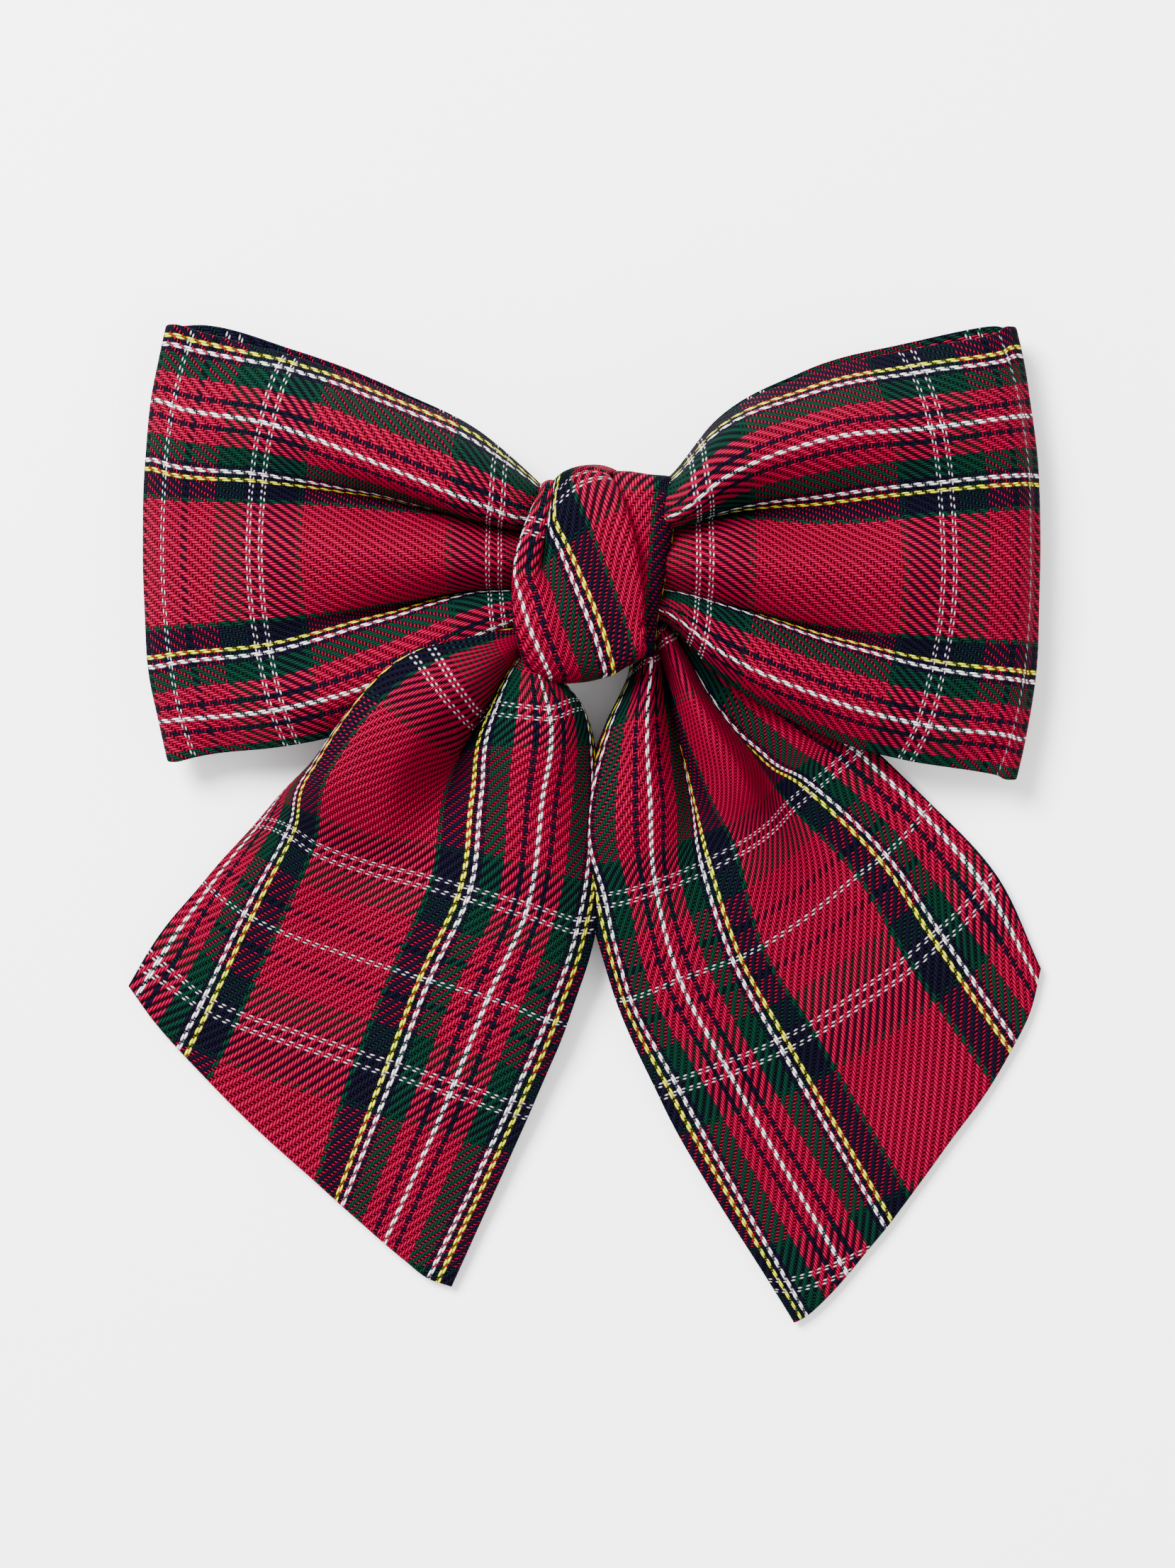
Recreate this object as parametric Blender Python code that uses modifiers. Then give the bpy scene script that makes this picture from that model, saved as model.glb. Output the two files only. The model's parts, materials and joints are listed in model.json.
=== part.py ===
"""Tartan hair bow on a French barrette clip. Metres, +Z up, front of the bow upwards.

The origin is the middle of the clasp arm's flat underside. X runs along the clip,
the tails point towards -Y and the knot stands towards +Z.
"""
import math

import bmesh
import bpy
import numpy as np
from mathutils import Matrix, Vector

# ---------------------------------------------------------------- driving dimensions
GAP = 0.0003                  # between pieces that touch
CLOTH = 0.0016                # two plies of twill
ROUND_STEPS = 20              # sides of pins, holes and rivets

LOOP_REACH_LEFT = 0.0765      # outermost point of the left loop's fold
LOOP_REACH_RIGHT = 0.0755
CORNER_IN = 0.0040            # how far the loops' corners lie inside that reach
LOOP_TOP = 0.0405             # height of the loops' top corners above the clip's middle
LOOP_BOTTOM_LEFT = -0.0330
LOOP_BOTTOM_RIGHT = -0.0355
LOOP_DEPTH = 0.0160           # front to back where a loop is fullest
FLARE_UPPER = 0.45            # how fast the loops' edges open out; 1 is a straight edge
FLARE_LOWER = 0.40
FOLD_DEPTH = 0.0034           # front to back at the pressed outer fold
FOLD_Z = 0.0062               # height of the outer fold above the table
LEFT_LEAN = -0.0015           # the left loop's lower edge dips behind its tail
RIGHT_LEAN = 0.0040           # the right loop's lower edge lies over its tail
LEFT_PRESS = 0.92             # how flat the loops' lower edges are pressed
RIGHT_PRESS = 0.60

# each tail edge after the knot: two curve handles and its end, in plan
LEFT_TAIL_INNER = ((0.008, -0.045), (-0.003, -0.085), (-0.0240, -0.1222))
LEFT_TAIL_OUTER = ((-0.035, -0.012), (-0.055, -0.042), (-0.0795, -0.0705))
RIGHT_TAIL_INNER = ((-0.014, -0.042), (0.006, -0.080), (0.0343, -0.1284))
RIGHT_TAIL_OUTER = ((0.032, -0.014), (0.056, -0.036), (0.0764, -0.0680))
TAIL_TIP_Z = 0.0011
TAIL_CROWN = 0.0025
TAIL_NECK_TAPER = 0.0018      # room inside the knot for a tail's end to swing
LEFT_TAIL_CREST = 0.0248      # where the left tail passes over its loop
RIGHT_TAIL_LIFT = -0.0045
TAIL_STATIONS = (0.0, 0.16, 0.33, 0.5, 0.67, 0.84, 1.0)

NECK_TOP = 0.0132             # gathered cloth inside the knot
NECK_BOTTOM = -0.0160
NECK_SPLIT = -0.0082          # loops above this height, tails below it
NECK_LOW = 0.0098
NECK_HIGH = 0.0196
THREAD_RADIUS = 0.00025
BINDING_TURNS = 4
BINDING_PITCH = 0.0011
BINDING_CORNER = 0.0013

KNOT_LEFT = -0.0130
KNOT_RIGHT = 0.0118
KNOT_CROWN = 0.0012           # how much the knot's middle stands above its ends

PLATE_LENGTH = 0.0700         # barrette
PLATE_WIDTH = 0.0084
PLATE_TOP = 0.0064
PLATE_DEPTH = 0.0020
PLATE_WALL = 0.0007
ARM_WIDTH = 0.0050
ARM_THICKNESS = 0.0010
PIN_RADIUS = 0.0006
PIN_INSET = 0.0024            # hinge axis from the plate's end
PIN_Z = 0.0019
KNUCKLE_RADIUS = 0.0016
PIN_FIT = 0.0001              # running clearance round the hinge pin
BOW_THICKNESS = 0.00045
BOW_WIDTH = 0.0038
BOW_FOOT = 0.0034             # flat foot at the riveted end of the tension bow
RIVET_RADIUS = 0.0007
RIVET_HEAD = 0.0013
CATCH_RIVET_HEAD = 0.0010     # narrow enough to stand between the prongs
RIVET_HEAD_THICKNESS = 0.0005
PRONG_THICKNESS = 0.0005
PRONG_OFFSET = 0.0012         # inner face of each prong from the clip's middle
PRONG_BARB = 0.0007
CATCH_INSET = 0.0075          # catch from the plate's other end
CATCH_LENGTH = 0.0040
HOLE_RADIUS = 0.0007          # sewing holes
STITCH_INSETS = (0.0160, 0.0210)   # outer stitches from each end of the plate
STITCH_INNER_X = 0.0070       # the pair behind the knot
STITCH_SPREAD = 0.0056        # between a stitch's two legs
STITCH_BEND = 0.0006
STITCH_RISE = 0.0018          # from the plate into the cloth behind a loop

# ---------------------------------------------------------------- derived places
PLATE_UNDER = PLATE_TOP - PLATE_WALL
BINDING_OFFSET = GAP + THREAD_RADIUS
WRAP_INSIDE = BINDING_OFFSET + THREAD_RADIUS + GAP
PIN_X = PLATE_LENGTH / 2 - PIN_INSET
CATCH_X = CATCH_INSET - PLATE_LENGTH / 2
ARM_END = CATCH_X - CATCH_LENGTH / 2 - 0.0014
CATCH_TAB_LOW = ARM_THICKNESS - 0.0002
CATCH_TAB_HIGH = CATCH_TAB_LOW + 0.0008
PRONG_TOP = PLATE_UNDER - 0.0015
STITCH_HALF = [PLATE_LENGTH / 2 - inset for inset in STITCH_INSETS] + [STITCH_INNER_X]
STITCH_X = [-x for x in STITCH_HALF] + STITCH_HALF[::-1]
BOW_RIVET_X = PIN_X - KNUCKLE_RADIUS - RIVET_HEAD - 0.0018


# ---------------------------------------------------------------- scene helpers
def clear_scene():
    for old in list(bpy.data.objects):
        bpy.data.objects.remove(old, do_unlink=True)


def new_collection(name):
    collection = bpy.data.collections.new(name)
    bpy.context.scene.collection.children.link(collection)
    return collection


def make_material(name, colour, roughness, metallic=0.0):
    material = bpy.data.materials.new(name)
    material.use_nodes = True
    shader = material.node_tree.nodes["Principled BSDF"]
    shader.inputs["Base Color"].default_value = (*colour, 1.0)
    shader.inputs["Roughness"].default_value = roughness
    shader.inputs["Metallic"].default_value = metallic
    return material


def add_object(name, data, collection, material=None):
    piece = bpy.data.objects.new(name, data)
    collection.objects.link(piece)
    if material is not None:
        data.materials.append(material)
    return piece


def add_bmesh(name, bm, collection, material=None):
    mesh = bpy.data.meshes.new(name)
    bm.to_mesh(mesh)
    bm.free()
    return add_object(name, mesh, collection, material)


def box_object(name, low, high, collection, material=None):
    low = Vector(low)
    high = Vector(high)
    bm = bmesh.new()
    bmesh.ops.create_cube(bm, size=1.0)
    bmesh.ops.scale(bm, vec=high - low, verts=bm.verts)
    bmesh.ops.translate(bm, vec=(high + low) / 2, verts=bm.verts)
    return add_bmesh(name, bm, collection, material)


def profile_object(name, outline, span_y, collection, material):
    """An outline in X and Z, drawn out along Y."""
    bm = bmesh.new()
    face = bm.faces.new([bm.verts.new((x, span_y[0], z)) for x, z in outline])
    drawn = bmesh.ops.extrude_face_region(bm, geom=[face])
    moved = [part for part in drawn["geom"] if isinstance(part, bmesh.types.BMVert)]
    bmesh.ops.translate(bm, vec=(0, span_y[1] - span_y[0], 0), verts=moved)
    bmesh.ops.recalc_face_normals(bm, faces=bm.faces)
    return add_bmesh(name, bm, collection, material)


def rod_object(name, start, end, radius, collection, material=None):
    start = Vector(start)
    end = Vector(end)
    bm = bmesh.new()
    bmesh.ops.create_cone(
        bm, cap_ends=True, segments=ROUND_STEPS, radius1=radius, radius2=radius,
        depth=(end - start).length,
    )
    turn = Vector((0, 0, 1)).rotation_difference(end - start).to_matrix()
    bmesh.ops.rotate(bm, matrix=turn, verts=bm.verts)
    bmesh.ops.translate(bm, vec=(start + end) / 2, verts=bm.verts)
    return add_bmesh(name, bm, collection, material)


def combine(target, tool, operation):
    """Cut the target by the tool, or join the tool to it."""
    tool.hide_render = True
    tool.display_type = "WIRE"
    modifier = target.modifiers.new(operation.title(), "BOOLEAN")
    modifier.operation = operation
    modifier.object = tool


def round_edges(piece, width, segments=2, angle=40):
    modifier = piece.modifiers.new("Bevel", "BEVEL")
    modifier.width = width
    modifier.segments = segments
    modifier.limit_method = "ANGLE"
    modifier.angle_limit = math.radians(angle)


def wire_object(name, points, radius, collection, material, closed=False):
    curve = bpy.data.curves.new(name, "CURVE")
    curve.dimensions = "3D"
    curve.bevel_depth = radius
    curve.bevel_resolution = 2
    curve.use_fill_caps = True
    spline = curve.splines.new("POLY")
    spline.points.add(len(points) - 1)
    spline.use_cyclic_u = closed
    for spot, point in zip(spline.points, points):
        spot.co = (*point, 1.0)
    return add_object(name, curve, collection, material)


def cloth_object(name, rows, closed, collection, material):
    """A sheet of cloth from rows of points. Closed rows make a band."""
    bm = bmesh.new()
    grid = [[bm.verts.new(point) for point in row] for row in rows]
    count = len(grid[0])
    spans = count if closed else count - 1
    for lower, upper in zip(grid, grid[1:]):
        for step in range(spans):
            after = (step + 1) % count
            bm.faces.new((lower[step], lower[after], upper[after], upper[step]))
    bmesh.ops.recalc_face_normals(bm, faces=bm.faces)
    piece = add_bmesh(name, bm, collection, material)
    smooth = piece.modifiers.new("Smooth", "SUBSURF")
    smooth.levels = 1
    smooth.render_levels = 1
    smooth.boundary_smooth = "PRESERVE_CORNERS"
    thick = piece.modifiers.new("Plies", "SOLIDIFY")
    thick.thickness = CLOTH
    thick.offset = 0.0
    piece.data.shade_smooth()
    return piece


# ---------------------------------------------------------------- curves of the design
def blend(a, b, share):
    return a + (b - a) * share


def ease(share):
    """Zero slope at both ends."""
    return (1 - math.cos(math.pi * share)) / 2


def smooth_step(share):
    share = min(max(share, 0.0), 1.0)
    return share * share * (3 - 2 * share)


def bezier(start, handle_a, handle_b, end, share):
    start, handle_a, handle_b, end = (Vector(point) for point in (start, handle_a, handle_b, end))
    rest = 1 - share
    return (
        start * rest ** 3 + handle_a * 3 * rest ** 2 * share
        + handle_b * 3 * rest * share ** 2 + end * share ** 3
    )


# ---------------------------------------------------------------- soft pieces
def loop_panels(share, across, lean, press):
    """Heights of a loop's back and front panels at a share of the way out to the fold.

    A lower edge that leans forward does so already inside the knot.
    """
    neck_back = NECK_LOW + CLOTH / 2 + GAP
    neck_depth = NECK_HIGH - NECK_LOW - CLOTH - 2 * GAP
    swell = math.sin(math.pi * min(share / 1.1, 1.0)) ** 1.2
    depth = blend(blend(neck_depth, LOOP_DEPTH, swell), FOLD_DEPTH, share ** 3)
    out = 1.0 if lean > 0 else smooth_step(share * 4)
    lower_press = press * (1 - smooth_step(across / 0.45)) * (1 - share ** 3)
    upper_press = 0.5 * smooth_step((across - 0.7) / 0.3) * math.sin(math.pi * share)
    base = blend(neck_back, FOLD_Z - FOLD_DEPTH / 2, share ** 2.2)
    droop = lean * (1 - across) ** 2 * (1 - share ** 2)
    front = base + droop * smooth_step(share * 4)
    front += depth * (1 - lower_press * smooth_step(share * 8) - upper_press)
    return base + droop * out, front


def make_loop(name, side, knot_side, reach, bottom, lean, press, collection, material):
    """A flattened tube: front panel out to the pressed fold and back panel home again."""
    inner = GAP / 2 + CLOTH / 2
    mouth = knot_side + CLOTH
    rows = []
    for across in np.linspace(0, 1, 9):
        bulge = CORNER_IN * 4 * across * (1 - across)
        outer = reach - CORNER_IN + bulge - CLOTH / 2
        neck_y = blend(NECK_SPLIT + GAP + CLOTH / 2, NECK_TOP - CLOTH / 2, across)
        outer_y = blend(bottom, LOOP_TOP, across)
        ring = [(0.0, inner, neck_y), (0.0, knot_side / 2, neck_y)]
        for share in np.linspace(0, 1, 11):
            x = blend(mouth, outer - FOLD_DEPTH / 2, share)
            flare = share ** blend(FLARE_LOWER, FLARE_UPPER, across)
            ring.append((share, x, blend(neck_y, outer_y, flare)))
        front = [(side * x, y, loop_panels(s, across, lean, press)[1]) for s, x, y in ring]
        back = [(side * x, y, loop_panels(s, across, lean, press)[0]) for s, x, y in ring]
        crease = (side * outer, outer_y, FOLD_Z)
        rows.append(front + [crease] + back[::-1])
    return cloth_object(name, rows, True, collection, material)


def make_tail(name, side, knot_side, neck_z, inner, outer, lift, collection, material):
    """A strip that leaves the knot sideways, opens out and comes down to the table."""
    mouth = knot_side + CLOTH
    neck_low = NECK_BOTTOM + CLOTH / 2
    neck_high = NECK_SPLIT - GAP - CLOTH / 2
    inner_start = (side * (mouth + CLOTH / 2), neck_low - 3.5 * CLOTH)
    outer_start = (side * (mouth + 2 * CLOTH), neck_high - 2.2 * CLOTH)
    rows = []
    for x in (GAP / 2, knot_side / 2, mouth - CLOTH / 2):
        low = neck_low + TAIL_NECK_TAPER * (1 - x / mouth)
        rows.append([(side * x, blend(low, neck_high, k), neck_z) for k in TAIL_STATIONS])
    for share in np.linspace(0.0, 1.0, 12):
        inner_spot = bezier(inner_start, *inner, share)
        outer_spot = bezier(outer_start, *outer, share)
        row = []
        for across in TAIL_STATIONS:
            spot = inner_spot.lerp(outer_spot, across)
            level = blend(neck_z, TAIL_TIP_Z, ease(share))
            puff = TAIL_CROWN * math.sin(math.pi * share) * math.sin(math.pi * across)
            edge = lift * across * math.sin(math.pi * share ** 0.6) ** 2
            row.append((spot.x, spot.y, max(level + puff + edge, TAIL_TIP_Z)))
        rows.append(row)
    return cloth_object(name, rows, False, collection, material)


def make_knot(collection, material):
    """The band of cloth wound round the gathers, open at both sides."""
    low_y = NECK_BOTTOM - WRAP_INSIDE - CLOTH / 2
    high_y = NECK_TOP + WRAP_INSIDE + CLOTH / 2
    low_z = NECK_LOW - WRAP_INSIDE - CLOTH / 2
    high_z = NECK_HIGH + WRAP_INSIDE + CLOTH / 2
    middle = ((low_y + high_y) / 2, (low_z + high_z) / 2)
    half = ((high_y - low_y) / 2, (high_z - low_z) / 2)
    squareness = 0.20
    rows = []
    for share in np.linspace(0, 1, 6):
        x = blend(KNOT_LEFT, KNOT_RIGHT, share)
        crown = KNOT_CROWN * math.sin(math.pi * share)
        ring = []
        for step in range(24):
            angle = 2 * math.pi * step / 24
            c = math.cos(angle)
            s = math.sin(angle)
            y = middle[0] + half[0] * math.copysign(abs(c) ** squareness, c)
            z = middle[1] + half[1] * math.copysign(abs(s) ** squareness, s)
            lift = crown * max(s, 0.0)
            ring.append((x, y, z + lift))
        rows.append(ring)
    return cloth_object("knot_wrap", rows, True, collection, material)


def rounded_rectangle(half_y, half_z, radius):
    """One turn round a rectangle with round corners, centred on the neck."""
    middle_y = (NECK_TOP + NECK_BOTTOM) / 2
    middle_z = (NECK_HIGH + NECK_LOW) / 2
    turn = []
    for corner, (side_y, side_z) in enumerate(((1, 1), (-1, 1), (-1, -1), (1, -1))):
        for step in range(4):
            angle = math.pi / 2 * (corner + step / 3)
            y = middle_y + side_y * (half_y - radius) + radius * math.cos(angle)
            z = middle_z + side_z * (half_z - radius) + radius * math.sin(angle)
            turn.append((y, z))
    return turn


def make_binding(collection, material):
    """Thread wound tightly round the gathers, under the knot."""
    half_y = (NECK_TOP - NECK_BOTTOM) / 2 + BINDING_OFFSET
    half_z = (NECK_HIGH - NECK_LOW) / 2 + BINDING_OFFSET
    turn = rounded_rectangle(half_y, half_z, BINDING_CORNER)
    points = []
    for index in range(BINDING_TURNS):
        for step, (y, z) in enumerate(turn):
            x = BINDING_PITCH * (index + step / len(turn) - BINDING_TURNS / 2)
            points.append((x, y, z))
    return wire_object("gather_thread", points, THREAD_RADIUS, collection, material)


# ---------------------------------------------------------------- barrette
def make_base_plate(parts, cutters, material):
    """A shallow channel, open downwards, with ears for the hinge pin."""
    half_length = PLATE_LENGTH / 2
    half_width = PLATE_WIDTH / 2
    low_z = PLATE_TOP - PLATE_DEPTH
    plate = box_object(
        "base_plate", (-half_length, -half_width, low_z), (half_length, half_width, PLATE_TOP),
        parts, material,
    )
    round_edges(plate, 0.0004)
    inside = box_object(
        "plate_inside",
        (-half_length - 0.001, -half_width + PLATE_WALL, low_z - 0.001),
        (half_length - PLATE_WALL, half_width - PLATE_WALL, PLATE_UNDER), cutters,
    )
    combine(plate, inside, "DIFFERENCE")
    for side in (-1, 1):
        wall = (half_width - PLATE_WALL, half_width)
        low_y, high_y = sorted((side * wall[0], side * wall[1]))
        ear = box_object(
            f"ear_{side}",
            (PIN_X - KNUCKLE_RADIUS, low_y, PIN_Z - KNUCKLE_RADIUS + 0.0003),
            (half_length - 0.0004, high_y, PLATE_TOP - PLATE_WALL), cutters,
        )
        combine(plate, ear, "UNION")
    bore = rod_object(
        "ear_bore", (PIN_X, -PLATE_WIDTH, PIN_Z), (PIN_X, PLATE_WIDTH, PIN_Z),
        PIN_RADIUS + PIN_FIT, cutters,
    )
    combine(plate, bore, "DIFFERENCE")
    for x in (CATCH_X, BOW_RIVET_X):
        hole = rod_object(
            "rivet_hole", (x, 0, PLATE_UNDER - 0.001), (x, 0, PLATE_TOP + 0.001),
            RIVET_RADIUS + PIN_FIT, cutters,
        )
        combine(plate, hole, "DIFFERENCE")
    for x in STITCH_X:
        for side in (-1, 1):
            y = side * STITCH_SPREAD / 2
            hole = rod_object(
                "sewing_hole", (x, y, PLATE_UNDER - 0.001), (x, y, PLATE_TOP + 0.001),
                HOLE_RADIUS, cutters,
            )
            combine(plate, hole, "DIFFERENCE")
    return plate


def make_clasp_arm(parts, cutters, material):
    """A flat bar with a knuckle at the hinge and a window for the catch."""
    half = ARM_WIDTH / 2
    recess_end = CATCH_X + CATCH_LENGTH / 2 + 0.0008
    tab_end = recess_end + 0.0008
    outline = [
        (ARM_END, CATCH_TAB_LOW), (recess_end, CATCH_TAB_LOW), (recess_end, 0.0),
        (PIN_X - KNUCKLE_RADIUS, 0.0),
    ]
    wrap = np.radians(np.linspace(-100, 150, 13))
    for angle in wrap:
        outline.append(
            (PIN_X + KNUCKLE_RADIUS * math.cos(angle), PIN_Z + KNUCKLE_RADIUS * math.sin(angle))
        )
    outline += [
        (PIN_X - 2 * KNUCKLE_RADIUS, ARM_THICKNESS), (tab_end, ARM_THICKNESS),
        (tab_end, CATCH_TAB_HIGH), (ARM_END, CATCH_TAB_HIGH),
    ]
    arm = profile_object("clasp_arm", outline, (-half, half), parts, material)
    bore = rod_object(
        "arm_bore", (PIN_X, -PLATE_WIDTH, PIN_Z), (PIN_X, PLATE_WIDTH, PIN_Z),
        PIN_RADIUS + PIN_FIT, cutters,
    )
    combine(arm, bore, "DIFFERENCE")
    side = PRONG_OFFSET + PRONG_THICKNESS + GAP
    window = box_object(
        "arm_window",
        (CATCH_X - CATCH_LENGTH / 2 - GAP, -side, -0.001),
        (CATCH_X + CATCH_LENGTH / 2 + GAP, side, CATCH_TAB_HIGH + 0.001), cutters,
    )
    combine(arm, window, "DIFFERENCE")
    return arm


def make_tension_bow(parts, cutters, material):
    """The springy strip between plate and arm that grips the hair."""
    start = CATCH_X + CATCH_LENGTH / 2 + 0.0018
    end = BOW_RIVET_X + BOW_FOOT / 2
    high = PLATE_UNDER - GAP - BOW_THICKNESS / 2
    low = ARM_THICKNESS + 2 * GAP + BOW_THICKNESS / 2
    bm = bmesh.new()
    path = [(start, high)]
    for share in np.linspace(0, 1, 15):
        x = blend(start + BOW_FOOT / 2, end - BOW_FOOT, share)
        path.append((x, blend(high, low, 4 * share * (1 - share))))
    path.append((end, high))
    rows = []
    for x, z in path:
        rows.append([bm.verts.new((x, y, z)) for y in (-BOW_WIDTH / 2, BOW_WIDTH / 2)])
    for near, far in zip(rows, rows[1:]):
        bm.faces.new((near[0], far[0], far[1], near[1]))
    bow = add_bmesh("tension_bow", bm, parts, material)
    thick = bow.modifiers.new("Thickness", "SOLIDIFY")
    thick.thickness = BOW_THICKNESS
    thick.offset = 0.0
    hole = rod_object(
        "bow_hole", (BOW_RIVET_X, 0, low), (BOW_RIVET_X, 0, PLATE_TOP),
        RIVET_RADIUS + PIN_FIT, cutters,
    )
    combine(bow, hole, "DIFFERENCE")
    return bow


def make_rivet(name, x, under, head_radius, parts, cutters, material):
    """A shank with a flat head above the plate and one under what it holds."""
    top = PLATE_TOP + GAP / 2
    rivet = rod_object(name, (x, 0, under), (x, 0, top), RIVET_RADIUS, parts, material)
    for low in (top - GAP / 4, under - RIVET_HEAD_THICKNESS + GAP / 4):
        head = rod_object(
            f"{name}_head", (x, 0, low), (x, 0, low + RIVET_HEAD_THICKNESS), head_radius, cutters
        )
        combine(rivet, head, "UNION")
    return rivet


def make_catch_bracket(parts, cutters, material):
    half = PRONG_OFFSET + PRONG_THICKNESS
    bracket = box_object(
        "catch_bracket",
        (CATCH_X - CATCH_LENGTH / 2, -half, PLATE_UNDER - GAP - 0.0008),
        (CATCH_X + CATCH_LENGTH / 2, half, PLATE_UNDER - GAP), parts, material,
    )
    hole = rod_object(
        "bracket_hole", (CATCH_X, 0, PRONG_TOP - 0.001), (CATCH_X, 0, PLATE_TOP),
        RIVET_RADIUS + PIN_FIT, cutters,
    )
    combine(bracket, hole, "DIFFERENCE")
    return bracket


def make_prong(name, side, parts, cutters, material):
    """A springy blade with a barb under the arm's window and a thumb pad past the arm's end."""
    near = side * PRONG_OFFSET
    far = side * (PRONG_OFFSET + PRONG_THICKNESS)
    barb = side * (PRONG_OFFSET + PRONG_THICKNESS + PRONG_BARB)
    pad = side * (ARM_WIDTH / 2 + 0.0008)
    barb_low = 0.0001
    barb_high = CATCH_TAB_LOW - 0.0002
    start = CATCH_X - CATCH_LENGTH / 2
    end = CATCH_X + CATCH_LENGTH / 2
    pad_x = -PLATE_LENGTH / 2 - 0.0012
    pad_low = CATCH_TAB_HIGH + GAP

    def span(first, second):
        return min(first, second), max(first, second)

    low_y, high_y = span(near, far)
    blade = box_object(
        name, (start, low_y, barb_low), (end, high_y, PRONG_TOP), parts, material
    )
    barb_y = span(near, barb)
    tooth = box_object(
        f"{name}_barb", (start, barb_y[0], barb_low), (end, barb_y[1], barb_high), cutters
    )
    combine(blade, tooth, "UNION")
    reach = box_object(
        f"{name}_reach", (pad_x, low_y, pad_low), (start + 0.0005, high_y, PRONG_TOP), cutters
    )
    combine(blade, reach, "UNION")
    pad_y = span(near, pad)
    thumb = box_object(
        f"{name}_pad", (pad_x - 0.0006, pad_y[0], pad_low), (pad_x + 0.0003, pad_y[1], PRONG_TOP),
        cutters,
    )
    combine(blade, thumb, "UNION")
    pivot = Vector((CATCH_X, (near + far) / 2, PRONG_TOP))
    blade.data.transform(Matrix.Translation(-pivot))
    blade.location = pivot
    return blade


def make_hinge_pin(parts, material):
    half = PLATE_WIDTH / 2 + 0.0002
    return rod_object(
        "hinge_pin", (PIN_X, -half, PIN_Z), (PIN_X, half, PIN_Z), PIN_RADIUS, parts, material
    )


def make_stitches(parts, material):
    """Hand stitches that hold the plate to the back of the bow: down one hole and up the other."""
    low_z = PLATE_UNDER - THREAD_RADIUS - GAP
    reach = THREAD_RADIUS + GAP
    for index, x in enumerate(STITCH_X, start=1):
        under_knot = KNOT_LEFT - reach < x < KNOT_RIGHT + reach
        cloth_z = NECK_LOW - WRAP_INSIDE - CLOTH - GAP if under_knot else PLATE_TOP + STITCH_RISE
        half = STITCH_SPREAD / 2
        bend = []
        for step in range(5):
            angle = math.pi / 2 * step / 4
            inward = STITCH_BEND * (1 - math.cos(angle))
            bend.append((inward, low_z + STITCH_BEND * (1 - math.sin(angle))))
        points = [(x, -half, cloth_z - GAP)]
        points += [(x, inward - half, z) for inward, z in bend]
        points += [(x, half - inward, z) for inward, z in reversed(bend)]
        points.append((x, half, cloth_z - GAP))
        wire_object(f"clip_stitch_{index}", points, THREAD_RADIUS, parts, material)


def main():
    clear_scene()
    parts = new_collection("hair_bow")
    cutters = new_collection("cutters")
    tartan = make_material("tartan_twill", (0.62, 0.03, 0.07), 0.85)
    thread = make_material("sewing_thread", (0.35, 0.02, 0.04), 0.7)
    steel = make_material("plated_steel", (0.72, 0.71, 0.69), 0.25, 1.0)
    spring = make_material("spring_steel", (0.62, 0.61, 0.60), 0.35, 1.0)

    make_loop(
        "left_loop", -1, -KNOT_LEFT, LOOP_REACH_LEFT, LOOP_BOTTOM_LEFT, LEFT_LEAN, LEFT_PRESS,
        parts, tartan,
    )
    make_loop(
        "right_loop", 1, KNOT_RIGHT, LOOP_REACH_RIGHT, LOOP_BOTTOM_RIGHT, RIGHT_LEAN, RIGHT_PRESS,
        parts, tartan,
    )
    make_tail(
        "left_tail", -1, -KNOT_LEFT, NECK_HIGH - CLOTH, LEFT_TAIL_INNER, LEFT_TAIL_OUTER,
        LEFT_TAIL_CREST - NECK_HIGH + CLOTH, parts, tartan,
    )
    make_tail(
        "right_tail", 1, KNOT_RIGHT, NECK_LOW + CLOTH / 2 + GAP, RIGHT_TAIL_INNER, RIGHT_TAIL_OUTER,
        RIGHT_TAIL_LIFT, parts, tartan,
    )
    make_knot(parts, tartan)
    make_binding(parts, thread)

    make_base_plate(parts, cutters, steel)
    make_clasp_arm(parts, cutters, steel)
    make_tension_bow(parts, cutters, spring)
    make_hinge_pin(parts, steel)
    make_catch_bracket(parts, cutters, steel)
    make_rivet("catch_rivet", CATCH_X, PRONG_TOP + GAP, CATCH_RIVET_HEAD, parts, cutters, steel)
    bow_under = PLATE_UNDER - 2 * GAP - BOW_THICKNESS
    make_rivet("bow_rivet", BOW_RIVET_X, bow_under, RIVET_HEAD, parts, cutters, steel)
    make_prong("catch_prong_upper", 1, parts, cutters, spring)
    make_prong("catch_prong_lower", -1, parts, cutters, spring)
    make_stitches(parts, thread)


main()
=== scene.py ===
"""Tartan hair bow on a French barrette: the looks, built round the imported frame.

Metres, except that the tables of cloth points and the lengths used with them are in millimetres.
"""
import json
import math

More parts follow.
